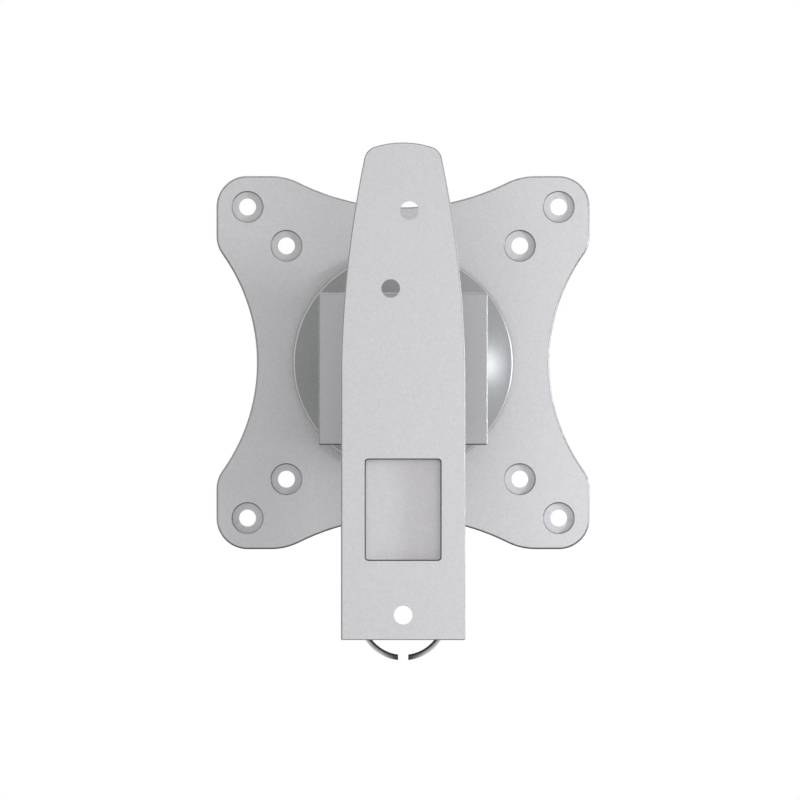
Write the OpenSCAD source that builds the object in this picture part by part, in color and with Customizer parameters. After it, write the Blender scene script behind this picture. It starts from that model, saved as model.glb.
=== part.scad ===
// Swivel wall mount for a flat screen: a wall plate with a short cast arm, a yoke that
// swivels on the arm, a domed head that tilts in the yoke, and a screen plate that turns
// on the head. Millimetres. X runs along the wall, Y out of the wall, Z up. The origin is
// on the wall, straight behind the centre of the screen plate.

/* [Wall plate] */
// Width of the wall plate at its straight foot
wall_w = 40; // [36:0.5:46]
// Height of the wall plate
wall_h = 160; // [152:1:180]
// Distance from the screen centre down to the foot of the wall plate
wall_drop = 89.2; // [88:0.2:96]
// Thickness of the wall plate
wall_t = 5; // [4:0.5:7]
// Height of the straight sides, from the foot up
wall_straight_h = 81.7; // [70:0.5:90]
// Radius of the long arcs that narrow the wall plate towards its top
wall_side_r = 360; // [320:10:460]
// Radius of the rounded top
crown_r = 30; // [26:1:40]
// Radius that blends the sides into the rounded top
crown_corner_r = 5; // [3:0.5:8]
// Diameter of the three wall screw holes
wall_hole_d = 6; // [5:0.5:7]
// Height of the upper wall hole above the foot
upper_hole_up = 138; // [130:1:144]
// Sideways place of the upper wall hole
upper_hole_x = 2; // [-6:0.5:6]
// Height of the middle wall hole above the foot
middle_hole_up = 113; // [100:1:120]
// Sideways place of the middle wall hole
middle_hole_x = -4; // [-8:0.5:8]
// Height of the lower wall hole above the foot
lower_hole_up = 8; // [7.5:0.1:8.5]

/* [Arm] */
// Width of the arm, which is also the diameter of its round nose
arm_w = 30; // [28:0.5:32]
// Height of the arm
arm_h = 37.6; // [37:0.1:37.8]
// Distance from the wall to the swivel axis
swivel_reach = 62; // [61:0.5:80]
// Radius along the long edges of the arm
arm_edge_r = 2; // [1:0.25:2.5]
// Radius of the fillet where the arm meets the wall plate
arm_root_r = 4; // [2:0.25:4.5]
// Width of the pocket in the back of the arm
pocket_w = 24; // [18:0.5:25]
// Height of the pocket in the back of the arm
pocket_h = 32.2; // [26:0.2:33]
// Depth of the pocket in the back of the arm
pocket_depth = 5; // [4.4:0.2:9]
// Corner radius of the pocket
pocket_corner_r = 0.8; // [0.4:0.1:3]

/* [Swivel joint] */
// Diameter of the swivel bolt
swivel_bolt_d = 8; // [6:0.5:8.5]
// Wall of the two swivel bushes
bush_wall = 2; // [1.5:0.25:2.5]
// Length of each swivel bush
bush_len = 8; // [5:0.5:10]
// Diameter of the friction washer between arm and yoke
swivel_washer_d = 24; // [20:0.5:25]
// Thickness of the friction washer between arm and yoke
swivel_washer_t = 2; // [1:0.25:3]
// Diameter of the nut recess in the underside of the arm
nut_recess_d = 20; // [19.5:0.25:22]
// Depth of the nut recess in the underside of the arm
nut_recess_h = 16.5; // [16:0.25:18]
// Height of the lock nut on the swivel bolt
swivel_nut_h = 8; // [6.5:0.25:8.5]
// Thickness of the cap that closes the nut recess
cap_t = 2; // [1:0.25:2.5]
// Depth of the cap's skirt above its disc
cap_skirt_h = 3; // [2:0.5:4]

/* [Yoke] */
// Width of the yoke
yoke_w = 54.4; // [50:0.2:60]
// Height of the yoke above the tilt axis
yoke_rise = 22.4; // [18:0.2:26]
// Height of the yoke below the tilt axis
yoke_drop = 26.5; // [25:0.1:27]
// Distance from the swivel axis back to the back face of the yoke
yoke_back = 16; // [14:0.5:20]
// Distance from the swivel axis forward to the front of the yoke's floor
yoke_front = 12; // [11:0.5:13]
// Length of the level top of the yoke
yoke_top_len = 14; // [10:0.5:18]
// Thickness of the yoke's back
web_t = 6; // [4:0.25:7]
// Thickness of the yoke's floor
floor_t = 8; // [7:0.25:9]
// Thickness of each ear of the yoke
ear_t = 13; // [12.5:0.25:15]
// Radius of the round nose of each ear
ear_nose_r = 12; // [11:0.25:12.5]
// Radius in the inner back corners of the yoke
throat_corner_r = 4; // [2:0.25:6]

/* [Tilt joint] */
// Distance from the swivel axis forward to the tilt axis
tilt_reach = 14; // [13:0.25:18]
// Diameter of the tilt bolt
tilt_bolt_d = 8; // [6:0.5:8.5]
// Wall of the sleeve of each tilt bush
tilt_bush_wall = 1.5; // [1:0.25:2]
// Length of the sleeve of each tilt bush inside the knuckle
tilt_bush_len = 8; // [5:0.5:10]
// Diameter of the flange of each tilt bush
tilt_flange_d = 20; // [16:0.5:21]
// Thickness of the flange of each tilt bush
tilt_flange_t = 1.5; // [1:0.25:2.5]
// Diameter of the recess in the right ear that takes the tilt nut
tilt_recess_d = 19; // [18:0.25:20]
// Depth of the recess in the right ear
tilt_recess_h = 9.2; // [8.8:0.1:10]
// Height of the thin lock nut on the tilt bolt
tilt_nut_h = 5; // [4:0.25:5.2]
// Radius of the knuckle
knuckle_r = 11; // [10:0.25:11.5]

/* [Domed head] */
// Radius of the dome
dome_r = 35.5; // [32:0.5:40]
// Radius of the dome's spherical back
dome_curve_r = 60; // [54:1:80]
// Distance from the tilt axis forward to the crest of the dome
dome_reach = 12; // [12:0.25:16]
// Height of the straight rim of the dome
dome_rim_h = 1.8; // [1.4:0.1:4]
// Width of the bevel round the rim of the dome
dome_bevel = 0.6; // [0.3:0.1:1]
// Thickness of the dome's shell
dome_wall = 3.5; // [2.5:0.25:4.5]
// Width of the flat ring round the front of the dome
dome_ring_w = 5; // [3:0.5:8]
// Radius of the hub in the middle of the dome
hub_r = 14; // [12:0.5:18]
// Number of ribs between hub and ring
rib_count = 6; // [4:1:10]
// Thickness of each rib
rib_t = 3; // [2:0.25:4]
// Height of the neck between knuckle and dome
neck_h = 17; // [12:0.5:20]

/* [Screen plate] */
// Spacing of the four outer screen holes
outer_pitch = 100; // [96:1:110]
// Spacing of the four inner screen holes
inner_pitch = 75; // [70:1:80]
// Width and height of the screen plate
screen_w = 120; // [116:1:122]
// Thickness of the screen plate
screen_t = 5; // [4.5:0.25:7]
// Radius of the four corners
screen_corner_r = 10; // [8:0.5:12]
// Width of the waist between the two side curves
side_waist = 94; // [92:1:100]
// Radius of the side curves
side_curve_r = 60; // [55:1:66]
// Radius that blends the side curves into the straight edges
side_blend_r = 10; // [7:0.5:13]
// Height of the waist between the top and bottom curves
top_waist = 100; // [98:1:106]
// Radius of the top and bottom curves
top_curve_r = 75; // [70:1:80]
// Radius that blends the top and bottom curves into the straight edges
top_blend_r = 20; // [16:0.5:22]
// Diameter of the eight screen holes
screen_hole_d = 5.4; // [4.5:0.1:6]
// Diameter of the recess behind each screen hole
screen_recess_d = 9.7; // [9:0.1:11]
// Depth of the recess behind each screen hole
screen_recess_h = 2; // [1:0.25:3]

/* [Turning joint] */
// Thickness of the friction ring between dome and screen plate
ring_t = 1.5; // [1:0.25:3]
// Width left free between the friction ring and the rim of the dome
ring_inset = 1; // [0.5:0.25:3]
// Diameter of the round boss that the screen plate turns on
boss_d = 20; // [18:0.5:22]
// Diameter of the flange of the clamp disc
clamp_d = 35.6; // [32:0.2:40]
// Thickness of the flange of the clamp disc
clamp_t = 1.6; // [1.2:0.1:2]
// Depth of the recess in the front of the screen plate
clamp_recess_h = 2.6; // [2.4:0.1:3]
// Thickness of the spring washer under the clamp disc
clamp_spring_t = 0.6; // [0.4:0.1:0.8]
// Diameter of the turning bolt
turn_bolt_d = 8; // [6:0.5:8.5]
// Length of the turning bolt inside the hub
turn_bolt_grip = 10; // [7:0.5:10.5]

/* [Cable clip] */
// Outer diameter of the cable clip
clip_d = 29.1; // [28.5:0.1:29.6]
// Wall of the cable clip
clip_wall = 1.8; // [1.4:0.1:2.2]
// Radius along the edges of the cable clip
clip_edge_r = 0.6; // [0.3:0.1:0.65]
// Width of the gap that cables are pressed through
clip_gap = 3.25; // [2.5:0.25:6]
// Length of the cable clip along Y
clip_len = 14; // [10:0.5:18]
// Distance from the wall to the middle of the cable clip
clip_reach = 26; // [22:0.5:34]
// Width of the flat under the head of the clip screw
clip_seat_w = 10; // [9:0.5:12]
// Diameter of the clip screw
clip_screw_d = 4; // [3:0.5:5]
// Length of the clip screw inside the arm
clip_screw_grip = 8; // [6:0.5:12]

/* [Fasteners and fits] */
// Width across the flats of the M8 heads and nuts
hex_across = 13; // [12:0.25:13.5]
// Height of the hexagon heads
hex_head_h = 5.3; // [4.5:0.1:5.5]
// Diameter of the flat steel washers
flat_washer_d = 17; // [15:0.5:17.5]
// Thickness of the flat steel washers
flat_washer_t = 1.6; // [1:0.2:1.8]
// Outer diameter of the disc springs
disc_spring_d = 16; // [14:0.5:17]
// Thickness of the disc springs
disc_spring_t = 0.6; // [0.4:0.1:0.7]
// Height of the cone of each disc spring
disc_spring_cone = 0.3; // [0.2:0.1:0.4]
// Diameter of the head of the clip screw
pan_head_d = 7.6; // [6:0.2:8]
// Height of the head of the clip screw
pan_head_h = 2.4; // [1.8:0.1:2.6]
// Radial clearance of what turns on a bolt
run_gap = 0.05; // [0.03:0.01:0.08]
// Radial clearance of what is held still by a bolt
bolt_gap = 0.1; // [0.05:0.05:0.2]
// Radial clearance of pressed and threaded pieces
seat_gap = 0.02; // [0.01:0.01:0.04]

/* [Hidden] */
$fn = 96;

// Room that a cut runs past the faces it opens
past = 1;
// Overlap of curves that touch, so that they cross cleanly
lap = 0.005;
// Angle that a slice reaches into its neighbours
spread = 10;

// Colours
powder_coat = [0.82, 0.82, 0.83];
dome_grey = [0.62, 0.63, 0.65];
zinc = [0.72, 0.73, 0.75];
nylon = [0.92, 0.91, 0.87];
polished = [0.55, 0.56, 0.58];
cap_grey = [0.45, 0.46, 0.48];

// Wall plate
wall_foot = -wall_drop;
wall_top = wall_foot + wall_h;
wall_bend = wall_foot + wall_straight_h;
side_centre = [wall_w / 2 - wall_side_r, wall_bend];
crown_centre = [0, wall_top - crown_r];
crown_corner = circles_meet(side_centre, wall_side_r - crown_corner_r,
                            crown_centre, crown_r - crown_corner_r);
wall_holes = [[upper_hole_x, wall_foot + upper_hole_up],
              [middle_hole_x, wall_foot + middle_hole_up],
              [0, wall_foot + lower_hole_up]];

// Arm, below the yoke
arm_top = -yoke_drop - swivel_washer_t;
arm_foot = arm_top - arm_h;
arm_middle = (arm_top + arm_foot) / 2;

// Stack of pieces on the swivel bolt, from the yoke's floor downwards
floor_top = floor_t - yoke_drop;
head_sink = floor_t / 2;
swivel_head_z = floor_top - head_sink;
recess_top = arm_foot + nut_recess_h;
swivel_spring_z = recess_top - flat_washer_t;
spring_pair_h = 2 * (disc_spring_t + disc_spring_cone);
swivel_nut_top = swivel_spring_z - spring_pair_h;
swivel_bolt_end = swivel_nut_top - swivel_nut_h - 0.5;
bush_d = swivel_bolt_d + 2 * (run_gap + bush_wall);

// Yoke and tilt axis
tilt_y = swivel_reach + tilt_reach;
yoke_back_y = swivel_reach - yoke_back;
yoke_front_y = swivel_reach + yoke_front;
throat_w = yoke_w - 2 * ear_t;
hex_gap = 0.2;

// Stack of pieces on the tilt bolt, from the right ear outwards
recess_x = yoke_w / 2 - tilt_recess_h;
tilt_spring_x = recess_x + flat_washer_t;
tilt_nut_x = tilt_spring_x + spring_pair_h;
tilt_head_sink = 0.3;
tilt_head_x = tilt_head_sink + hex_head_h - yoke_w / 2;
tilt_bolt_end = tilt_nut_x + tilt_nut_h + 0.5;
knuckle_w = throat_w - 2 * tilt_flange_t;
tilt_sleeve_d = tilt_bolt_d + 2 * (run_gap + tilt_bush_wall);

// Domed head and what turns on it
dome_crest_y = tilt_y + dome_reach;
dome_edge_y = dome_crest_y + sagitta(dome_curve_r, dome_r);
dome_front_y = dome_edge_y + dome_rim_h;
screen_back_y = dome_front_y + ring_t;
screen_front_y = screen_back_y + screen_t;
clamp_seat_y = screen_front_y - clamp_recess_h;
clamp_flange_y = clamp_seat_y + clamp_spring_t;
clamp_front_y = clamp_flange_y + clamp_t;
turn_head_sink = 0.2;
turn_head_r = turn_bolt_d * 0.95;
turn_head_y = clamp_front_y - turn_head_sink;
turn_bolt_end_y = dome_front_y - turn_bolt_grip;

// Cable clip, in line with the lower wall hole
clip_z = wall_holes[2][1];
clip_inner_r = clip_d / 2 - clip_wall;
clip_seat_z = clip_z + sqrt(pow(clip_inner_r, 2) - pow(clip_seat_w / 2, 2));
clip_seat_len = clip_len - 4 * clip_edge_r;

// Height of an arc of radius r at half-chord c
function sagitta(r, c) = r - sqrt(r * r - c * c);

// Upper point where two circles cross
function circles_meet(a, ra, b, rb) =
    let (d = norm(b - a), along = (ra * ra - rb * rb + d * d) / (2 * d), e = (b - a) / d)
    a + along * e + sqrt(ra * ra - along * along) * [-e[1], e[0]];

// Direction of a vector in degrees
function bearing(v) = atan2(v[1], v[0]);

// Point where a line from p touches a circle round the origin, on the side given by turn
function tangent_point(p, r, turn) =
    let (a = bearing(p) + turn * acos(r / norm(p)))
    r * [cos(a), sin(a)];

// Extrudes a drawing of Y and Z along X
module along_x(x, length) {
    translate([x, 0, 0]) rotate([90, 0, 90]) linear_extrude(height = length) children();
}

// Extrudes a drawing of X and Z along Y
module along_y(y, length) {
    translate([0, y + length, 0]) rotate([90, 0, 0]) linear_extrude(height = length) children();
}

// Extrudes a drawing of X and Y along Z
module along_z(z, length) {
    translate([0, 0, z]) linear_extrude(height = length) children();
}

// Revolves a drawing of radius and Y about the Y axis
module about_y() {
    rotate([-90, 0, 0]) rotate_extrude() children();
}

// Round rod along X, starting at x on the tilt axis
module rod_x(x, length, d) {
    translate([x, tilt_y, 0]) rotate([0, 90, 0]) cylinder(h = length, d = d);
}

// Round rod along Y, starting at y on the given X and Z
module rod_y(y, length, d, at = [0, 0]) {
    translate([at[0], y, at[1]]) rotate([-90, 0, 0]) cylinder(h = length, d = d);
}

// Round rod on the swivel axis, starting at z
module rod_z(z, length, d) {
    translate([0, swivel_reach, z]) cylinder(h = length, d = d);
}

// Slice of a disc between two bearings
module slice(r, from, to) {
    middle = (from + to) / 2;
    intersection() {
        circle(r = r);
        polygon([[0, 0], for (a = [from, middle, to]) 2 * r * [cos(a), sin(a)]]);
    }
}

// Rectangle with round corners, centred
module round_rectangle(w, h, r) {
    square([w, h - 2 * r], center = true);
    square([w - 2 * r, h], center = true);
    for (q = [0:3])
        translate([(q == 0 || q == 3 ? 1 : -1) * (w / 2 - r), (q < 2 ? 1 : -1) * (h / 2 - r)])
            slice(r, 90 * q, 90 * q + 90);
}

// Corner piece that fills an inside corner with a round of radius r
module inside_round(r) {
    difference() {
        square(r);
        translate([r, r]) circle(r = r);
    }
}

// Hexagon prism with its outer end bevelled to a cone, standing on Z = 0
module hex_block(across, h) {
    corner_r = across / sqrt(3);
    flat_r = across * 0.475;
    intersection() {
        cylinder(h = h, r = corner_r, $fn = 6);
        rotate_extrude()
            polygon([[0, 0], [corner_r + past, 0],
                     [corner_r + past, h - (corner_r + past - flat_r) * tan(30)], [flat_r, h], [0, h]]);
    }
}

// Nut standing on Z = 0 with a plain bore
module hex_nut(across, h, bore_d) {
    difference() {
        hex_block(across, h);
        translate([0, 0, -past]) cylinder(h = h + 2 * past, d = bore_d);
    }
}

// Flat ring standing on Z = 0
module flat_ring(d, bore_d, t) {
    linear_extrude(height = t) difference() {
        circle(d = d);
        circle(d = bore_d);
    }
}

// Two disc springs rim to rim, standing on Z = 0
module disc_spring_pair(bore_d) {
    inner = bore_d / 2;
    outer = disc_spring_d / 2;
    for (flip = [0, 1])
        translate([0, 0, flip * spring_pair_h]) mirror([0, 0, flip]) rotate_extrude()
            polygon([[inner, 0], [outer, disc_spring_cone],
                     [outer, disc_spring_cone + disc_spring_t], [inner, disc_spring_t]]);
}

// Outline of the wall plate: straight foot, narrowing sides and a rounded top
module wall_outline() {
    side_bearing = bearing(crown_corner - side_centre);
    crown_bearing = bearing(crown_corner - crown_centre);
    shoulder = side_centre + (wall_side_r + crown_r) * [cos(side_bearing), sin(side_bearing)];
    inside_crown = crown_centre + [0, crown_r / 2];
    translate([-wall_w / 2, wall_foot]) square([wall_w, wall_straight_h]);
    intersection() {
        translate(side_centre) circle(r = wall_side_r, $fn = 720);
        mirror([1, 0]) translate(side_centre) circle(r = wall_side_r, $fn = 720);
        polygon([[shoulder[0], wall_bend], shoulder, crown_corner, inside_crown,
                 [-crown_corner[0], crown_corner[1]], [-shoulder[0], shoulder[1]],
                 [-shoulder[0], wall_bend]]);
    }
    translate(crown_centre) slice(crown_r, crown_bearing, 180 - crown_bearing);
    for (side = [0, 1])
        mirror([side, 0]) translate(crown_corner) circle(r = crown_corner_r + lap);
}

// Arm with round long edges and a round nose about the swivel axis
module arm_body() {
    along_y(0, swivel_reach) translate([0, arm_middle])
        round_rectangle(arm_w, arm_h, arm_edge_r);
    translate([0, swivel_reach, arm_middle]) rotate_extrude(angle = 180)
        intersection() {
            round_rectangle(arm_w, arm_h, arm_edge_r);
            translate([0, -arm_h]) square([arm_w, 2 * arm_h]);
        }
}

// Fillet all round the arm where it leaves the wall plate
module arm_root() {
    half_w = arm_w / 2 - arm_edge_r;
    half_h = arm_h / 2 - arm_edge_r;
    for (side = [0, 1]) {
        mirror([side, 0, 0]) translate([arm_w / 2, wall_t, arm_middle - half_h])
            linear_extrude(height = 2 * half_h) inside_round(arm_root_r);
        translate([-half_w, wall_t, arm_middle]) mirror([0, 0, side]) translate([0, 0, arm_h / 2])
            rotate([0, 90, 0]) mirror([1, 0]) linear_extrude(height = 2 * half_w)
                inside_round(arm_root_r);
    }
    for (q = [0:3])
        translate([(q == 0 || q == 3 ? 1 : -1) * half_w, wall_t,
                   arm_middle + (q < 2 ? 1 : -1) * half_h])
            rotate([-90, 0, 0]) rotate([0, 0, -90 * q - 90]) rotate_extrude(angle = 90)
                translate([arm_edge_r, 0]) inside_round(arm_root_r);
}

// Casting that is screwed to the wall and carries the swivel bolt
module wall_bracket() {
    color(powder_coat) difference() {
        union() {
            along_y(0, wall_t) wall_outline();
            arm_body();
            arm_root();
        }
        for (hole = wall_holes) rod_y(-past, wall_t + 2 * past, wall_hole_d, hole);
        along_y(-past, pocket_depth + past) translate([0, arm_middle])
            round_rectangle(pocket_w, pocket_h, pocket_corner_r);
        rod_z(arm_foot - past, arm_h + 2 * past, swivel_bolt_d + 1);
        rod_z(arm_top - bush_len, bush_len + past, bush_d + 2 * seat_gap);
        rod_z(arm_foot - past, nut_recess_h + past + bush_len, bush_d + 2 * seat_gap);
        rod_z(arm_foot - past, nut_recess_h + past, nut_recess_d);
        translate([0, clip_reach, arm_foot - past])
            cylinder(h = clip_screw_grip + 2 * past, d = clip_screw_d + 2 * seat_gap);
    }
}

// Plain bush pressed into the arm, starting at z
module swivel_bush(z) {
    color(nylon) translate([0, swivel_reach, z])
        flat_ring(bush_d, swivel_bolt_d + 2 * run_gap, bush_len);
}

module swivel_bush_upper() {
    swivel_bush(arm_top - bush_len);
}

module swivel_bush_lower() {
    swivel_bush(recess_top);
}

// Nylon washer that the yoke turns on
module swivel_friction_washer() {
    color(nylon) translate([0, swivel_reach, arm_top])
        flat_ring(swivel_washer_d, swivel_bolt_d + 2 * bolt_gap, swivel_washer_t);
}

// Hexagon bolt with its head sunk in the yoke's floor
module swivel_bolt() {
    color(zinc) {
        translate([0, swivel_reach, swivel_head_z]) hex_block(hex_across, hex_head_h);
        rod_z(swivel_bolt_end, swivel_head_z - swivel_bolt_end, swivel_bolt_d);
    }
}

module swivel_flat_washer() {
    color(zinc) translate([0, swivel_reach, swivel_spring_z])
        flat_ring(flat_washer_d, swivel_bolt_d + 2 * bolt_gap, flat_washer_t);
}

module swivel_spring_washers() {
    color(zinc) translate([0, swivel_reach, swivel_nut_top])
        disc_spring_pair(swivel_bolt_d + 2 * bolt_gap);
}

// Lock nut that sets how stiffly the yoke swivels
module swivel_nut() {
    color(zinc) translate([0, swivel_reach, swivel_nut_top]) mirror([0, 0, 1])
        hex_nut(hex_across, swivel_nut_h, swivel_bolt_d + 2 * seat_gap);
}

// Plastic cap pressed into the mouth of the nut recess
module swivel_nut_cap() {
    cap_r = nut_recess_d / 2 - seat_gap;
    skirt_r = hex_across / sqrt(3) + 0.6;
    color(cap_grey) translate([0, swivel_reach, arm_foot]) rotate_extrude()
        polygon([[0, 0], [cap_r, 0], [cap_r, cap_t + cap_skirt_h],
                 [skirt_r, cap_t + cap_skirt_h], [skirt_r, cap_t], [0, cap_t]]);
}

// Open ring for the screen's cables, screwed up against the underside of the arm
module cable_clip() {
    color(polished) difference() {
        union() {
            translate([0, clip_reach, clip_z]) rotate([-90, 0, 0]) rotate_extrude()
                translate([clip_inner_r + clip_wall / 2, 0])
                    round_rectangle(clip_wall, clip_len, clip_edge_r);
            along_y(clip_reach - clip_seat_len / 2, clip_seat_len)
                translate([-(clip_seat_w + clip_wall) / 2, clip_seat_z])
                    square([clip_seat_w + clip_wall, arm_foot - clip_seat_z]);
        }
        along_y(clip_reach - clip_len / 2 - past, clip_len + 2 * past)
            translate([-clip_gap / 2, clip_z - clip_d]) square([clip_gap, clip_d]);
        translate([0, clip_reach, clip_seat_z - past])
            cylinder(h = arm_foot - clip_seat_z + 2 * past, d = clip_screw_d + 2 * bolt_gap);
    }
}

// Screw driven up through the gap of the clip into the arm
module cable_clip_screw() {
    color(zinc) translate([0, clip_reach, clip_seat_z]) difference() {
        union() {
            cylinder(h = arm_foot - clip_seat_z + clip_screw_grip, d = clip_screw_d);
            mirror([0, 0, 1]) cylinder(h = pan_head_h, d1 = pan_head_d, d2 = pan_head_d * 0.8);
        }
        translate([0, 0, -pan_head_h - past])
            cylinder(h = pan_head_h / 2 + past, d = clip_screw_d * 0.7, $fn = 6);
    }
}

// Side view of the yoke: upright back, level floor and a round nose about the tilt axis
module yoke_side() {
    foot = [yoke_front_y - tilt_y, -yoke_drop];
    brow = [yoke_back_y + yoke_top_len - tilt_y, yoke_rise];
    lower = tangent_point(foot, ear_nose_r, 1);
    upper = tangent_point(brow, ear_nose_r, -1);
    back = yoke_back_y - tilt_y;
    translate([tilt_y, 0]) {
        polygon([[back, -yoke_drop], foot, lower, upper, brow, [back, yoke_rise]]);
        circle(r = ear_nose_r + lap);
    }
}

// Room between the ears, seen from above
module throat_outline() {
    depth = 2 * (tilt_reach + yoke_back);
    translate([0, yoke_back_y + web_t + depth / 2]) round_rectangle(throat_w, depth, throat_corner_r);
}

// Cast yoke that swivels on the arm and holds the knuckle between its ears
module swivel_yoke() {
    color(powder_coat) difference() {
        along_x(-yoke_w / 2, yoke_w) yoke_side();
        along_z(floor_top, yoke_rise - floor_top + past) throat_outline();
        rod_z(-yoke_drop - past, floor_t + 2 * past, swivel_bolt_d + 2 * bolt_gap);
        translate([0, swivel_reach, swivel_head_z])
            cylinder(h = head_sink + past, r = (hex_across + hex_gap) / sqrt(3), $fn = 6);
        rod_x(-yoke_w / 2 - past, yoke_w + 2 * past, tilt_bolt_d + 2 * bolt_gap);
        rod_x(recess_x, tilt_recess_h + past, tilt_recess_d);
        translate([-yoke_w / 2 - past, tilt_y, 0]) rotate([0, 90, 0])
            cylinder(h = tilt_head_x + yoke_w / 2 + past, r = (hex_across + hex_gap) / sqrt(3),
                     $fn = 6);
    }
}

// Hexagon bolt along the tilt axis, with its head sunk in the left ear
module tilt_bolt() {
    color(zinc) {
        translate([tilt_head_x, tilt_y, 0]) rotate([0, -90, 0]) hex_block(hex_across, hex_head_h);
        rod_x(tilt_head_x, tilt_bolt_end - tilt_head_x, tilt_bolt_d);
    }
}

module tilt_flat_washer() {
    color(zinc) translate([recess_x, tilt_y, 0]) rotate([0, 90, 0])
        flat_ring(flat_washer_d, tilt_bolt_d + 2 * bolt_gap, flat_washer_t);
}

module tilt_spring_washers() {
    color(zinc) translate([tilt_spring_x, tilt_y, 0]) rotate([0, 90, 0])
        disc_spring_pair(tilt_bolt_d + 2 * bolt_gap);
}

// Lock nut that sets how stiffly the head tilts
module tilt_nut() {
    color(zinc) translate([tilt_nut_x, tilt_y, 0]) rotate([0, 90, 0])
        hex_nut(hex_across, tilt_nut_h, tilt_bolt_d + 2 * seat_gap);
}

// Flanged nylon bush between the knuckle and the right ear
module tilt_bush() {
    color(nylon) translate([knuckle_w / 2, tilt_y, 0]) rotate([0, 90, 0]) {
        flat_ring(tilt_flange_d, tilt_bolt_d + 2 * run_gap, tilt_flange_t);
        translate([0, 0, -tilt_bush_len])
            flat_ring(tilt_sleeve_d, tilt_bolt_d + 2 * run_gap, tilt_bush_len);
    }
}

module tilt_bush_right() {
    tilt_bush();
}

module tilt_bush_left() {
    mirror([1, 0, 0]) tilt_bush();
}

// Half section of the dome: spherical back, bevelled rim and flat front
module dome_section() {
    bevel_y = dome_crest_y + sagitta(dome_curve_r, dome_r - dome_bevel);
    difference() {
        intersection() {
            translate([0, dome_crest_y + dome_curve_r]) circle(r = dome_curve_r, $fn = 240);
            translate([0, dome_crest_y]) square([dome_r, dome_front_y - dome_crest_y]);
        }
        polygon([[dome_r - dome_bevel, bevel_y], [dome_r + past, bevel_y],
                 [dome_r + past, dome_edge_y + dome_bevel], [dome_r, dome_edge_y + dome_bevel]]);
    }
}

// Half section of the hollow between hub and ring
module dome_hollow_section() {
    intersection() {
        translate([0, dome_crest_y + dome_curve_r])
            circle(r = dome_curve_r - dome_wall, $fn = 240);
        translate([hub_r, dome_crest_y])
            square([dome_r - dome_ring_w - hub_r, dome_front_y - dome_crest_y + past]);
    }
}

// Casting with the knuckle, the neck and the ribbed dome that carries the screen plate
module tilt_head() {
    neck_corner = norm([knuckle_w, neck_h]) / 2;
    neck_len = dome_reach + sagitta(dome_curve_r, neck_corner) + dome_wall / 2;
    color(dome_grey) difference() {
        union() {
            rod_x(-knuckle_w / 2, knuckle_w, 2 * knuckle_r);
            translate([-knuckle_w / 2, tilt_y, -neck_h / 2])
                cube([knuckle_w, neck_len, neck_h]);
            about_y() dome_section();
        }
        difference() {
            about_y() dome_hollow_section();
            for (i = [0:rib_count - 1])
                rotate([0, 360 / rib_count * (i + 0.5), 0])
                    translate([0, dome_crest_y, -rib_t / 2])
                        cube([dome_r, dome_front_y - dome_crest_y + 2 * past, rib_t]);
        }
        rod_x(-knuckle_w / 2 - past, knuckle_w + 2 * past, tilt_bolt_d + 1);
        for (side = [0, 1])
            mirror([side, 0, 0])
                rod_x(knuckle_w / 2 - tilt_bush_len, tilt_bush_len + past,
                      tilt_sleeve_d + 2 * seat_gap);
        rod_y(turn_bolt_end_y - past, turn_bolt_grip + 2 * past, turn_bolt_d + 2 * seat_gap);
    }
}

// Thin ring that the screen plate turns against
module rotation_friction_ring() {
    color(nylon) translate([0, dome_front_y, 0]) rotate([-90, 0, 0])
        flat_ring(2 * (dome_r - ring_inset), boss_d + 1, ring_t);
}

// Flanged disc whose boss is the bearing of the screen plate
module rotation_clamp_disc() {
    sink_y = turn_head_y - (turn_head_r - turn_bolt_d / 2);
    bore_r = turn_bolt_d / 2 + bolt_gap;
    boss_r = boss_d / 2 - run_gap;
    mouth_r = bore_r + clamp_front_y - sink_y;
    color(zinc) about_y()
        polygon([[bore_r, dome_front_y], [boss_r, dome_front_y], [boss_r, clamp_flange_y],
                 [clamp_d / 2, clamp_flange_y], [clamp_d / 2, clamp_front_y],
                 [mouth_r, clamp_front_y], [bore_r, sink_y]]);
}

// Spring washer that presses the screen plate against the friction ring
module rotation_spring_washer() {
    color(zinc) translate([0, clamp_seat_y, 0]) rotate([-90, 0, 0])
        flat_ring(clamp_d - 1, boss_d + 1, clamp_spring_t);
}

// Countersunk bolt with a hexagon socket that holds the clamp disc
module rotation_bolt() {
    neck_y = turn_head_y - (turn_head_r - turn_bolt_d / 2);
    socket_h = (turn_head_y - neck_y) * 0.7;
    color(zinc) difference() {
        about_y()
            polygon([[0, turn_bolt_end_y], [turn_bolt_d / 2, turn_bolt_end_y],
                     [turn_bolt_d / 2, neck_y], [turn_head_r, turn_head_y], [0, turn_head_y]]);
        translate([0, turn_head_y - socket_h, 0]) rotate([-90, 0, 0])
            cylinder(h = socket_h + past, d = turn_bolt_d * 0.72, $fn = 6);
    }
}

// Distance along an edge from its middle to the centre of the blend beside its hollow curve
function blend_place(half_w, half_waist, curve_r, blend_r) =
    sqrt(pow(curve_r + blend_r, 2) - pow(half_waist + curve_r - half_w + blend_r, 2));

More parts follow.
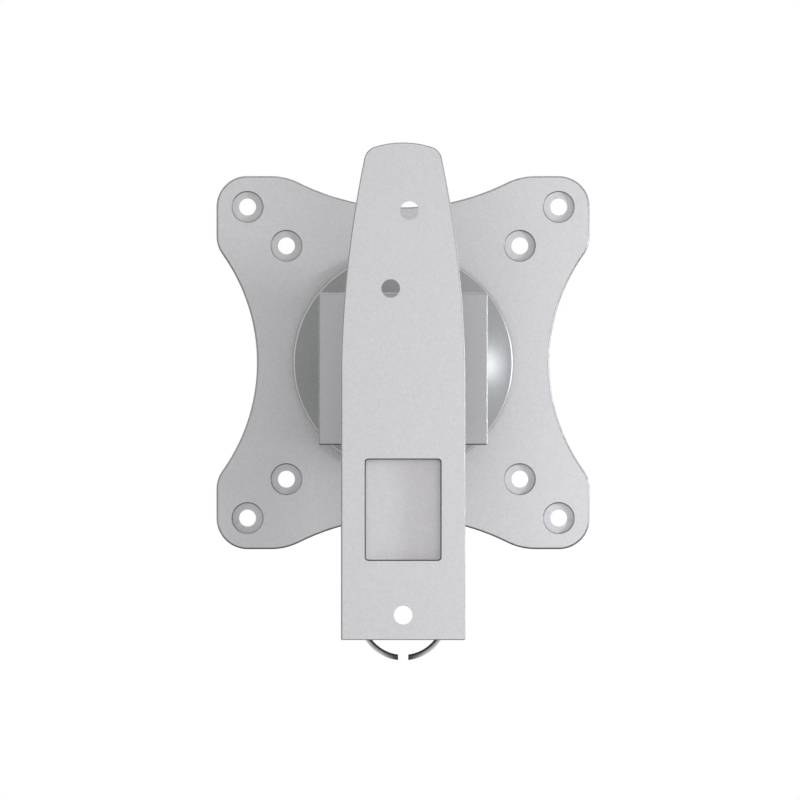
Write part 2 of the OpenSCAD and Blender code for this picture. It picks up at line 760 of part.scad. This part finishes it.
// Outline of the screen plate: a square with round corners and four hollow sides
module screen_outline() {
    half_w = screen_w / 2;
    side_curve = [side_waist / 2 + side_curve_r, 0];
    top_curve = [0, top_waist / 2 + top_curve_r];
    side_blend = [half_w - side_blend_r,
                  blend_place(half_w, side_waist / 2, side_curve_r, side_blend_r)];
    top_blend = [blend_place(half_w, top_waist / 2, top_curve_r, top_blend_r),
                 half_w - top_blend_r];
    corner = (half_w - screen_corner_r) * [1, 1];
    side_lean = bearing(side_curve - side_blend);
    top_lean = bearing(top_curve - top_blend);
    quarter = [side_blend + side_blend_r * [cos(side_lean), sin(side_lean)],
               side_blend + [side_blend_r, 0],
               corner + [screen_corner_r, 0],
               corner + [0, screen_corner_r],
               top_blend + [0, top_blend_r],
               top_blend + top_blend_r * [cos(top_lean), sin(top_lean)]];
    last = len(quarter) - 1;
    difference() {
        union() {
            polygon([for (p = quarter) p,
                     for (i = [last:-1:0]) [-quarter[i][0], quarter[i][1]],
                     for (p = quarter) -p,
                     for (i = [last:-1:0]) [quarter[i][0], -quarter[i][1]]]);
            for (flip_x = [0, 1], flip_z = [0, 1])
                mirror([flip_x, 0]) mirror([0, flip_z]) {
                    translate(side_blend) slice(side_blend_r + lap, side_lean - spread, spread);
                    translate(corner) slice(screen_corner_r + lap, -spread, 90 + spread);
                    translate(top_blend) slice(top_blend_r + lap, 90 - spread, top_lean + spread);
                }
        }
        for (side = [-1, 1]) {
            translate(side * side_curve) circle(r = side_curve_r, $fn = 360);
            translate(side * top_curve) circle(r = top_curve_r, $fn = 360);
        }
    }
}

// Plate that the screen is screwed to, through the outer or the inner four holes
module screen_plate() {
    color(powder_coat) difference() {
        along_y(screen_back_y, screen_t) screen_outline();
        for (pitch = [outer_pitch, inner_pitch], sx = [-1, 1], sz = [-1, 1]) {
            rod_y(screen_back_y - past, screen_t + 2 * past, screen_hole_d,
                  [sx, sz] * pitch / 2);
            rod_y(screen_back_y - past, screen_recess_h + past, screen_recess_d,
                  [sx, sz] * pitch / 2);
        }
        rod_y(screen_back_y - past, screen_t + 2 * past, boss_d);
        rod_y(clamp_seat_y, clamp_recess_h + past, clamp_d + 0.8);
    }
}

wall_bracket();
swivel_bush_upper();
swivel_bush_lower();
swivel_friction_washer();
swivel_bolt();
swivel_flat_washer();
swivel_spring_washers();
swivel_nut();
swivel_nut_cap();
cable_clip();
cable_clip_screw();
swivel_yoke();
tilt_bolt();
tilt_flat_washer();
tilt_spring_washers();
tilt_nut();
tilt_bush_left();
tilt_bush_right();
tilt_head();
rotation_friction_ring();
rotation_clamp_disc();
rotation_spring_washer();
rotation_bolt();
screen_plate();
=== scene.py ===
"""Swivel wall mount for a flat screen, dressed for the camera.

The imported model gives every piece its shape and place. This script rounds the outward edges of
the pieces, gives each one its finish, and sets up the studio.
Metres. X runs along the wall, Y out of the wall, Z up. The camera stands where the wall would be.
"""
import math

import bpy
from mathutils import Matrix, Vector


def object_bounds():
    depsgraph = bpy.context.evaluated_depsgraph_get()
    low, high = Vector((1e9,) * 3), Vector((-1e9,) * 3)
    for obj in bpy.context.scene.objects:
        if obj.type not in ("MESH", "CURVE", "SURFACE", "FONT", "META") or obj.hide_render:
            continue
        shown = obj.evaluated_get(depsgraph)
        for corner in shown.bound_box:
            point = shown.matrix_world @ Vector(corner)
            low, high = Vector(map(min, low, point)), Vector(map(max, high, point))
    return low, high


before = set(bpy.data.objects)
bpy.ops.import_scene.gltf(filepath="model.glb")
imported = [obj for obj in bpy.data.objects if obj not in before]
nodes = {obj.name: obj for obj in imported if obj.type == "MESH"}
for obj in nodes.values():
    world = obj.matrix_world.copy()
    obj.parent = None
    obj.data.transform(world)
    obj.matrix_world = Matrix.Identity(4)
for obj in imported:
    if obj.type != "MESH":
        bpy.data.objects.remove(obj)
cad_low, cad_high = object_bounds()
scene = bpy.context.scene

# Wall bracket: wall plate and arm in one aluminium die casting, deburred all round.
# Its silver powder coat holds fine flakes. Its rounded edges are glossier than the flats, with
# shade painted into their darker colour, darker still on edges that face down and round the
# pocket.
MM = 0.001
bracket_edge = 0.36 * MM
coat_dark, coat_light = (0.582, 0.574, 0.59), (0.632, 0.624, 0.64)
# Edge tones: painted shade for the rounded edges, darker than the coat on the flats.
edge_shade_dark, edge_shade_light = (0.27, 0.27, 0.275), (0.33, 0.33, 0.335)
wall_holes = ((2, 48.8), (-4, 23.8), (0, -81.2))
wall_hole_sharp, wall_hole_round = 4, 4.5
least_edge_angle = 0.6
weld_reach = 0.002 * MM
flat_angle = math.radians(0.3)
gloss_spread = 0.05


def float_socket(face, name, way, value=0.0):
    """Gives a node group a socket for one number, with the value that it starts from."""
    face.new_socket(name, in_out=way, socket_type="NodeSocketFloat").default_value = value


def outward_edges(name, spots=(), sharp_reach=0.0, round_reach=1.0):
    """Weighs the outward edges of a piece for rounding: none within the sharp reach of the screw
    holes at the spots, full weight from the round reach on. Spots and reaches are in mm, and the
    least angle between the faces of such an edge is in radians."""
    group = bpy.data.node_groups.new(name, "GeometryNodeTree")
    face = group.interface
    face.new_socket("Geometry", in_out="INPUT", socket_type="NodeSocketGeometry")
    float_socket(face, "Least Angle", "INPUT", least_edge_angle)
    face.new_socket("Geometry", in_out="OUTPUT", socket_type="NodeSocketGeometry")
    tree, link = group.nodes, group.links.new
    given, made = tree.new("NodeGroupInput"), tree.new("NodeGroupOutput")
    angle = tree.new("GeometryNodeInputMeshEdgeAngle")
    sharp = tree.new("FunctionNodeCompare")
    sharp.operation = "GREATER_THAN"
    link(angle.outputs["Signed Angle"], sharp.inputs[0])
    link(given.outputs["Least Angle"], sharp.inputs[1])
    place, flat = tree.new("GeometryNodeInputPosition"), tree.new("ShaderNodeVectorMath")
    flat.operation = "MULTIPLY"
    flat.inputs[1].default_value = (1, 0, 1)
    link(place.outputs["Position"], flat.inputs[0])
    share = sharp.outputs["Result"]
    for x, z in spots:
        away, ramp, part = (tree.new("ShaderNodeVectorMath"), tree.new("ShaderNodeMapRange"),
                            tree.new("ShaderNodeMath"))
        away.operation, part.operation = "DISTANCE", "MULTIPLY"
        away.inputs[1].default_value = (x * MM, 0, z * MM)
        ramp.inputs["From Min"].default_value = sharp_reach * MM
        ramp.inputs["From Max"].default_value = round_reach * MM
        link(flat.outputs["Vector"], away.inputs[0])
        link(away.outputs["Value"], ramp.inputs["Value"])
        link(share, part.inputs[0])
        link(ramp.outputs["Result"], part.inputs[1])
        share = part.outputs[0]
    weight = tree.new("GeometryNodeStoreNamedAttribute")
    weight.domain = "EDGE"
    weight.data_type = "FLOAT"
    weight.inputs["Name"].default_value = "bevel_weight_edge"
    link(given.outputs["Geometry"], weight.inputs["Geometry"])
    link(share, weight.inputs["Value"])
    link(weight.outputs["Geometry"], made.inputs["Geometry"])
    return group


all_outward = outward_edges("outward edges")
clear_of_wall_holes = outward_edges("outward edges of wall bracket", wall_holes,
                                    wall_hole_sharp, wall_hole_round)


def round_edges(piece, width, segments=3, edges=all_outward, clamp=True):
    """Rounds the marked edges of a piece and gives the rounding the last of its finishes."""
    weld = piece.modifiers.new("join faces", "WELD")
    weld.merge_threshold = weld_reach
    flats = piece.modifiers.new("merge flats", "DECIMATE")
    flats.decimate_type = "DISSOLVE"
    flats.angle_limit = flat_angle
    flats.delimit = {"NORMAL"}
    piece.modifiers.new("mark edges", "NODES").node_group = edges
    rounding = piece.modifiers.new("round edges", "BEVEL")
    rounding.width = width
    rounding.segments = segments
    rounding.limit_method = "WEIGHT"
    rounding.use_clamp_overlap = clamp
    rounding.harden_normals = False
    rounding.material = len(piece.data.materials) - 1
    shading = piece.modifiers.new("even shading", "WEIGHTED_NORMAL")
    shading.mode = "FACE_AREA"
    shading.keep_sharp = False
    for face in piece.data.polygons:
        face.use_smooth = True


def coat_piece(piece, *finishes):
    """Puts finishes on a piece: the first on its flats, the last on its rounded edges."""
    piece.data.materials.clear()
    for finish in finishes:
        piece.data.materials.append(finish)


def grain_group():
    """Fine grain of a coat or a casting: a height, a fleck mask and a slow drift. The sizes of
    the grain and of the drift are in mm."""
    group = bpy.data.node_groups.new("surface grain", "ShaderNodeTree")
    face = group.interface
    float_socket(face, "Grain Size", "INPUT", 0.4)
    float_socket(face, "Drift Size", "INPUT", 25)
    for name in ("Height", "Fleck", "Drift"):
        float_socket(face, name, "OUTPUT")
    tree, link = group.nodes, group.links.new
    given, made = tree.new("NodeGroupInput"), tree.new("NodeGroupOutput")
    place = tree.new("ShaderNodeTexCoord")
    sizes = {}
    for name in ("Grain Size", "Drift Size"):
        per_metre = tree.new("ShaderNodeMath")
        per_metre.operation = "DIVIDE"
        per_metre.inputs[0].default_value = 1 / MM
        link(given.outputs[name], per_metre.inputs[1])
        sizes[name] = per_metre.outputs[0]
    pebble = tree.new("ShaderNodeTexNoise")
    pebble.inputs["Detail"].default_value = 2
    pebble.inputs["Roughness"].default_value = 0.6
    drift = tree.new("ShaderNodeTexNoise")
    drift.inputs["Detail"].default_value = 1
    flake = tree.new("ShaderNodeTexVoronoi")
    fleck = tree.new("ShaderNodeSeparateColor")
    for texture, size in ((pebble, "Grain Size"), (flake, "Grain Size"), (drift, "Drift Size")):
        link(place.outputs["Object"], texture.inputs["Vector"])
        link(sizes[size], texture.inputs["Scale"])
    link(flake.outputs["Color"], fleck.inputs["Color"])
    link(pebble.outputs["Fac"], made.inputs["Height"])
    link(fleck.outputs["Red"], made.inputs["Fleck"])
    link(drift.outputs["Fac"], made.inputs["Drift"])
    return group


surface_grain = grain_group()


def grained_finish(name, dark, light, grain, drift, bump, rough, metallic, specular=0.5):
    """A surface whose flecks run from a dark to a light tone and whose gloss drifts slowly.
    Grain, drift and bump are in mm."""
    finish = bpy.data.materials.new(name)
    finish.use_nodes = True
    tree, link = finish.node_tree.nodes, finish.node_tree.links.new
    shader = tree["Principled BSDF"]
    grains = tree.new("ShaderNodeGroup")
    grains.name = "grains"
    grains.node_tree = surface_grain
    grains.inputs["Grain Size"].default_value = grain
    grains.inputs["Drift Size"].default_value = drift
    tone = tree.new("ShaderNodeMix")
    tone.name = "tone"
    tone.data_type = "RGBA"
    tone.inputs["A"].default_value = (*dark, 1)
    tone.inputs["B"].default_value = (*light, 1)
    link(grains.outputs["Fleck"], tone.inputs["Factor"])
    link(tone.outputs["Result"], shader.inputs["Base Color"])
    gloss = tree.new("ShaderNodeMapRange")
    gloss.inputs["To Min"].default_value = rough - gloss_spread
    gloss.inputs["To Max"].default_value = rough + gloss_spread
    link(grains.outputs["Drift"], gloss.inputs["Value"])
    link(gloss.outputs["Result"], shader.inputs["Roughness"])
    relief = tree.new("ShaderNodeBump")
    relief.inputs["Strength"].default_value = 1
    relief.inputs["Distance"].default_value = bump * MM
    link(grains.outputs["Height"], relief.inputs["Height"])
    link(relief.outputs["Normal"], shader.inputs["Normal"])
    shader.inputs["Metallic"].default_value = metallic
    shader.inputs["Specular IOR Level"].default_value = specular
    return finish


def painted_shade_edge_finish(name):
    """A glossy metal finish for rounded edges, with shade painted into its dark colour."""
    return grained_finish(name, dark=edge_shade_dark, light=edge_shade_light, grain=0.5, drift=30,
                          bump=0.001, rough=0.4, metallic=1.0)


def overlay_tone(finish, mask, tone):
    """Lays a second tone over a finish wherever a mask group puts out 1."""
    tree = finish.node_tree
    shader = tree.nodes["Principled BSDF"]
    below = shader.inputs["Base Color"].links[0].from_socket
    placed, mix = tree.nodes.new("ShaderNodeGroup"), tree.nodes.new("ShaderNodeMix")
    placed.name = mask.name
    placed.node_tree = mask
    mix.data_type = "RGBA"
    mix.inputs["B"].default_value = (*tone, 1)
    tree.links.new(placed.outputs[0], mix.inputs["Factor"])
    tree.links.new(below, mix.inputs["A"])
    tree.links.new(mix.outputs["Result"], shader.inputs["Base Color"])


def underside_shade_mask():
    """Rises from 0 to 1 as a rounding turns to face down: where shade is painted on lower edges.
    """
    group = bpy.data.node_groups.new("underside shade mask", "ShaderNodeTree")
    face = group.interface
    float_socket(face, "Least Turn", "INPUT", -0.15)
    float_socket(face, "Full Turn", "INPUT", -0.6)
    float_socket(face, "Underside", "OUTPUT")
    tree, link = group.nodes, group.links.new
    given, made = tree.new("NodeGroupInput"), tree.new("NodeGroupOutput")
    facing, split = tree.new("ShaderNodeTexCoord"), tree.new("ShaderNodeSeparateXYZ")
    turned = tree.new("ShaderNodeMapRange")
    link(facing.outputs["Normal"], split.inputs["Vector"])
    link(split.outputs["Z"], turned.inputs["Value"])
    link(given.outputs["Least Turn"], turned.inputs["From Min"])
    link(given.outputs["Full Turn"], turned.inputs["From Max"])
    link(turned.outputs["Result"], made.inputs["Underside"])
    return group


# Painted shade: a near-black tone for the roundings that face down.
underside_shade_tone = (0.06, 0.06, 0.065)
pocket_rim_half_w, pocket_rim_half_h, pocket_middle_z = 12.6 * MM, 16.7 * MM, -47.4 * MM
# Painted shade for the rounded rim of the pocket.
pocket_rim_shade_tone = (0.045, 0.045, 0.05)


def pocket_shade_mask():
    """1 in the pocket of the wall bracket and on its rim, 0 elsewhere: where shade is painted on
    the rim.
    """
    group = bpy.data.node_groups.new("pocket shade mask", "ShaderNodeTree")
    face = group.interface
    for name, value in (("Half Width", pocket_rim_half_w), ("Half Height", pocket_rim_half_h),
                        ("Middle Height", pocket_middle_z)):
        float_socket(face, name, "INPUT", value)
    float_socket(face, "Inside", "OUTPUT")
    tree, link = group.nodes, group.links.new
    given, made = tree.new("NodeGroupInput"), tree.new("NodeGroupOutput")
    place, split = tree.new("ShaderNodeTexCoord"), tree.new("ShaderNodeSeparateXYZ")
    link(place.outputs["Object"], split.inputs["Vector"])
    wide, high, inside = (tree.new("ShaderNodeMath"), tree.new("ShaderNodeMath"),
                          tree.new("ShaderNodeMath"))
    wide.operation, high.operation, inside.operation = "COMPARE", "COMPARE", "MULTIPLY"
    wide.inputs[1].default_value = 0
    link(split.outputs["X"], wide.inputs[0])
    link(given.outputs["Half Width"], wide.inputs[2])
    link(split.outputs["Z"], high.inputs[0])
    link(given.outputs["Middle Height"], high.inputs[1])
    link(given.outputs["Half Height"], high.inputs[2])
    link(wide.outputs[0], inside.inputs[0])
    link(high.outputs[0], inside.inputs[1])
    link(inside.outputs[0], made.inputs["Inside"])
    return group


silver_coat = grained_finish("silver powder coat", dark=coat_dark, light=coat_light, grain=0.5,
                             drift=30, bump=0.006, rough=0.55, metallic=0.2, specular=0.3)
# The rounded edges get a dark tone that is painted shade; the lamps still give them real
# highlights.
edge_coat_painted_shade = painted_shade_edge_finish("painted shade on edges")
bracket_painted_edge_shade = painted_shade_edge_finish("painted shade on bracket edges")
# Painted shade on the roundings that face down.
underside_painted_shade = underside_shade_mask()
overlay_tone(edge_coat_painted_shade, underside_painted_shade, underside_shade_tone)
overlay_tone(bracket_painted_edge_shade, underside_painted_shade, underside_shade_tone)
# Painted shade on the rounded rim of the pocket.
overlay_tone(bracket_painted_edge_shade, pocket_shade_mask(), pocket_rim_shade_tone)
coat_piece(nodes["wall_bracket"], silver_coat, bracket_painted_edge_shade)
round_edges(nodes["wall_bracket"], bracket_edge, edges=clear_of_wall_holes, clamp=False)

# Nylon bushes, the friction washer and the friction ring, which keep the castings from rubbing
# on each other. They are turned from rod and left bare, and the bushes are pressed in.
nylon = grained_finish("nylon", dark=(0.72, 0.70, 0.64), light=(0.78, 0.76, 0.70), grain=0.6,
                       drift=10, bump=0.003, rough=0.45, metallic=0.0)
nylon_edge = 0.12 * MM
for bearing in ("swivel_bush_upper", "swivel_bush_lower", "swivel_friction_washer",
                "tilt_bush_left", "tilt_bush_right", "rotation_friction_ring"):
    coat_piece(nodes[bearing], nylon)
    round_edges(nodes[bearing], nylon_edge, segments=2)

# Swivel yoke: an aluminium casting that turns on the arm and holds the tilt bolt in its two
# ears. Its coat is smoother and darker than that of the plates.
yoke_edge = 0.5 * MM
yoke_coat = grained_finish("grey yoke coat", dark=(0.395, 0.392, 0.40),
                           light=(0.42, 0.417, 0.425), grain=0.5, drift=30, bump=0.003,
                           rough=0.45, metallic=0.2)
# The yoke's rounded edges take the edge coat with painted shade.
coat_piece(nodes["swivel_yoke"], yoke_coat, edge_coat_painted_shade)
round_edges(nodes["swivel_yoke"], yoke_edge, clamp=False)

# Bolts, nuts, washers, disc springs and the clamp disc: steel, zinc plated. The joints' bolts
# are tightened against disc springs or a spring washer, which keep the joints stiff.
zinc = grained_finish("zinc plate", dark=(0.52, 0.53, 0.55), light=(0.62, 0.63, 0.65), grain=0.5,
                      drift=8, bump=0.002, rough=0.3, metallic=1.0)
fastener_edge = 0.15 * MM
for fastener in ("swivel_bolt", "swivel_flat_washer", "swivel_spring_washers", "swivel_nut",
                 "cable_clip_screw", "tilt_bolt", "tilt_flat_washer", "tilt_spring_washers",
                 "tilt_nut", "rotation_clamp_disc", "rotation_spring_washer", "rotation_bolt"):
    coat_piece(nodes[fastener], zinc)
    round_edges(nodes[fastener], fastener_edge, segments=2)

# Cap that closes the nut recess under the arm. It is moulded in dark plastic with a fine matt
# grain, and pressed in.
cap_edge = 0.3 * MM
cap_plastic = grained_finish("cap plastic", dark=(0.16, 0.165, 0.17), light=(0.19, 0.195, 0.20),
                             grain=0.5, drift=12, bump=0.006, rough=0.5, metallic=0.0)
coat_piece(nodes["swivel_nut_cap"], cap_plastic)
round_edges(nodes["swivel_nut_cap"], cap_edge)

# Cable clip under the arm: an open ring of spring steel, screwed on. Its dark metal has painted
# shade inside and on the bent ends at its gap, and a light painted reflection outside.
clip_axis_z, reflection_from_r, reflection_full_r = -81.2 * MM, 12.9 * MM, 14.7 * MM
shaded_end_reach, reflection_reach = 2.5 * MM, 7 * MM
clip_edge = 0.12 * MM
painted_reflection_tone = (0.62, 0.63, 0.64)


def clip_reflection_mask():
    """Across a ring round the Y axis: 0 at its bore and lower ends, 1 outside, for a painted
    reflection.
    """
    group = bpy.data.node_groups.new("clip reflection mask", "ShaderNodeTree")
    face = group.interface
    for name, value in (("Middle Height", clip_axis_z), ("Inner Radius", reflection_from_r),
                        ("Outer Radius", reflection_full_r), ("Shaded End", shaded_end_reach),
                        ("End Reach", reflection_reach)):
        float_socket(face, name, "INPUT", value)
    float_socket(face, "Outside", "OUTPUT")
    tree, link = group.nodes, group.links.new
    given, made = tree.new("NodeGroupInput"), tree.new("NodeGroupOutput")
    place, split, middle = (tree.new("ShaderNodeTexCoord"), tree.new("ShaderNodeSeparateXYZ"),
                            tree.new("ShaderNodeCombineXYZ"))
    link(place.outputs["Object"], split.inputs["Vector"])
    link(split.outputs["Y"], middle.inputs["Y"])
    link(given.outputs["Middle Height"], middle.inputs["Z"])
    radius = tree.new("ShaderNodeVectorMath")
    radius.operation = "DISTANCE"
    link(place.outputs["Object"], radius.inputs[0])
    link(middle.outputs["Vector"], radius.inputs[1])
    across = tree.new("ShaderNodeMapRange")
    across.interpolation_type = "SMOOTHERSTEP"
    link(radius.outputs["Value"], across.inputs["Value"])
    link(given.outputs["Inner Radius"], across.inputs["From Min"])
    link(given.outputs["Outer Radius"], across.inputs["From Max"])
    side, below, end = (tree.new("ShaderNodeMath"), tree.new("ShaderNodeMath"),
                        tree.new("ShaderNodeMapRange"))
    side.operation, below.operation = "ABSOLUTE", "GREATER_THAN"
    link(split.outputs["X"], side.inputs[0])
    link(side.outputs[0], end.inputs["Value"])
    link(given.outputs["Shaded End"], end.inputs["From Min"])
    link(given.outputs["End Reach"], end.inputs["From Max"])
    link(split.outputs["Z"], below.inputs[0])
    link(given.outputs["Middle Height"], below.inputs[1])
    open_side, outside = tree.new("ShaderNodeMath"), tree.new("ShaderNodeMath")
    open_side.operation, outside.operation = "MAXIMUM", "MULTIPLY"
    link(end.outputs["Result"], open_side.inputs[0])
    link(below.outputs[0], open_side.inputs[1])
    link(open_side.outputs[0], outside.inputs[0])
    link(across.outputs["Result"], outside.inputs[1])
    link(outside.outputs[0], made.inputs["Outside"])
    return group


# The clip's near-black metal stands for painted shade; the light tone laid outside is a painted
# reflection.
clip_metal_painted_light = grained_finish("clip, painted reflection and shade", dark=(0.055, 0.055, 0.06),
                            light=(0.065, 0.065, 0.07), grain=1.5, drift=20, bump=0.001,
                            rough=0.16, metallic=1.0)
overlay_tone(clip_metal_painted_light, clip_reflection_mask(), painted_reflection_tone)
coat_piece(nodes["cable_clip"], clip_metal_painted_light)
round_edges(nodes["cable_clip"], clip_edge, segments=2)

# Tilt head: an aluminium casting, a knuckle between the yoke's ears with a dome over the
# screen plate. Its coat is smooth, darker than the plates and has no flakes, and the bevel
# round the rim of the dome is turned bright.
dome_edge = 0.3 * MM
dome_rim_r, rim_bevel_w, bevel_slack = 35.5 * MM, 0.6 * MM, 0.05 * MM
bevel_least_turn, bevel_most_turn = -0.2, -0.97
dome_coat = grained_finish("grey satin coat", dark=(0.26, 0.266, 0.27), light=(0.28, 0.286, 0.29),
                           grain=0.8, drift=40, bump=0.001, rough=0.33, metallic=0.1,
                           specular=0.7)
bright_bevel = grained_finish("bright turned bevel", dark=(0.62, 0.62, 0.63),
                              light=(0.68, 0.68, 0.69), grain=0.5, drift=20, bump=0.001,
                              rough=0.3, metallic=1.0)
head_mesh = nodes["tilt_head"].data
# The head's rounded edges take the edge coat with painted shade.
coat_piece(nodes["tilt_head"], dome_coat, bright_bevel, edge_coat_painted_shade)
for face in head_mesh.polygons:
    corners = [head_mesh.vertices[i].co for i in face.vertices]
    near_rim = all(math.hypot(c.x, c.z) > dome_rim_r - rim_bevel_w - bevel_slack for c in corners)
    if near_rim and bevel_most_turn < face.normal.y < bevel_least_turn:
        face.material_index = 1
round_edges(nodes["tilt_head"], dome_edge)

# Screen plate: a flat aluminium casting with hollow sides, eight counterbored screw holes and
# the same silver coat as the wall bracket.
screen_edge = 0.55 * MM
screen_half_pitches = (37.5, 50)
screen_holes = [(side * half, level * half) for half in screen_half_pitches
                for side in (-1, 1) for level in (-1, 1)]
screen_hole_sharp, screen_hole_round = 3.5, 5.8
clear_of_screen_holes = outward_edges("outward edges of screen plate", screen_holes,
                                      screen_hole_sharp, screen_hole_round)
# The screen plate's rounded edges take the edge coat with painted shade.
coat_piece(nodes["screen_plate"], silver_coat, edge_coat_painted_shade)
round_edges(nodes["screen_plate"], screen_edge, edges=clear_of_screen_holes)

# Studio: a pale floor below the mount and a white surround. A small key light and a larger edge
# light stand to the right, a weak light hangs above, and soft fills stand in front and behind.
px_per_m = 3111
photo_px = 800
photo_middle_x, photo_middle_z = -0.00101, -0.01205
camera_distance = 0.6
camera_data = bpy.data.cameras.new("camera")
camera_data.type = "ORTHO"
camera_data.ortho_scale = photo_px / px_per_m
camera = bpy.data.objects.new("camera", camera_data)
scene.collection.objects.link(camera)
camera.location = (photo_middle_x, -camera_distance, photo_middle_z)
camera.rotation_euler = (math.radians(90), 0, 0)
scene.camera = camera


def white_surround(tree, shader_out, surface_in, white):
    """Shows white to the camera and to reflections, and the plain shader to all other rays."""
    path = tree.nodes.new("ShaderNodeLightPath")
    seen = tree.nodes.new("ShaderNodeMath")
    seen.operation = "MAXIMUM"
    through = tree.nodes.new("ShaderNodeMath")
    through.operation = "MAXIMUM"
    mix = tree.nodes.new("ShaderNodeMixShader")
    tree.links.new(path.outputs["Is Camera Ray"], seen.inputs[0])
    tree.links.new(path.outputs["Is Glossy Ray"], seen.inputs[1])
    tree.links.new(seen.outputs[0], through.inputs[0])
    tree.links.new(path.outputs["Is Transmission Ray"], through.inputs[1])
    tree.links.new(through.outputs[0], mix.inputs["Fac"])
    tree.links.new(shader_out, mix.inputs[1])
    tree.links.new(white, mix.inputs[2])
    tree.links.new(mix.outputs[0], surface_in)


ambient_strength = 0.495
world = bpy.data.worlds.new("surround")
scene.world = world
world.use_nodes = True
ambient = world.node_tree.nodes["Background"]
ambient.inputs["Color"].default_value = (1, 1, 0.975, 1)
ambient.inputs["Strength"].default_value = ambient_strength
white = world.node_tree.nodes.new("ShaderNodeBackground")
white.inputs["Color"].default_value = (1, 1, 1, 1)
white.inputs["Strength"].default_value = 1
white_surround(world.node_tree, ambient.outputs[0],
               world.node_tree.nodes["World Output"].inputs["Surface"], white.outputs[0])

floor_drop = 40 * MM
floor_half = 3
floor_glow = 0.65
floor_grey = 0.8
floor_z = cad_low[2] - floor_drop
floor_mesh = bpy.data.meshes.new("floor")
floor_mesh.from_pydata([(-floor_half, -floor_half, floor_z), (floor_half, -floor_half, floor_z),
                        (floor_half, floor_half, floor_z), (-floor_half, floor_half, floor_z)],
                       [], [(0, 1, 2, 3)])
floor = bpy.data.objects.new("floor", floor_mesh)
scene.collection.objects.link(floor)
floor_paint = bpy.data.materials.new("pale floor")
floor_paint.use_nodes = True
floor_tree = floor_paint.node_tree
floor_shader = floor_tree.nodes["Principled BSDF"]
floor_shader.inputs["Base Color"].default_value = (floor_grey, floor_grey, floor_grey, 1)
floor_shader.inputs["Roughness"].default_value = 0.8
bright = floor_tree.nodes.new("ShaderNodeEmission")
bright.inputs["Strength"].default_value = 1
pale = floor_tree.nodes.new("ShaderNodeMixShader")
pale.inputs["Fac"].default_value = floor_glow
floor_tree.links.new(floor_shader.outputs[0], pale.inputs[1])
floor_tree.links.new(bright.outputs[0], pale.inputs[2])
white_surround(floor_tree, floor_shader.outputs[0],
               floor_tree.nodes["Material Output"].inputs["Surface"], pale.outputs[0])
floor_mesh.materials.append(floor_paint)

mount_middle = Vector((0, 0.06, -0.01))


def soft_light(name, azimuth, elevation, distance, width, height, watts, colour=(1, 1, 1)):
    """A soft box that faces the mount. Azimuth 0 is the camera's side, and 90 its right side."""
    data = bpy.data.lights.new(name, "AREA")
    data.shape = "RECTANGLE"
    data.size = width
    data.size_y = height
    data.energy = watts
    data.color = colour
    lamp = bpy.data.objects.new(name, data)
    lamp.visible_camera = False
    scene.collection.objects.link(lamp)
    a, e = math.radians(azimuth), math.radians(elevation)
    away = Vector((math.sin(a) * math.cos(e), -math.cos(a) * math.cos(e), math.sin(e)))
    lamp.location = mount_middle + away * distance
    lamp.rotation_euler = (-away).to_track_quat("-Z", "Y").to_euler()
    return lamp


soft_light("key", azimuth=61, elevation=0, distance=0.33, width=0.06, height=0.07, watts=0.46,
           colour=(0.93, 0.97, 1))
soft_light("edge light", azimuth=112, elevation=0, distance=0.45, width=0.15, height=0.35,
           watts=0.8, colour=(0.93, 0.93, 1))
front_fill = soft_light("front fill", azimuth=4, elevation=0, distance=0.9, width=0.6, height=0.4,
                        watts=2.7, colour=(1, 0.975, 1))
front_fill.visible_glossy = False
soft_light("top light", azimuth=20, elevation=82, distance=0.6, width=0.4, height=0.3, watts=0.4)
soft_light("far fill", azimuth=165, elevation=35, distance=0.9, width=0.6, height=0.5, watts=3.0)

scene.view_settings.view_transform = "Standard"
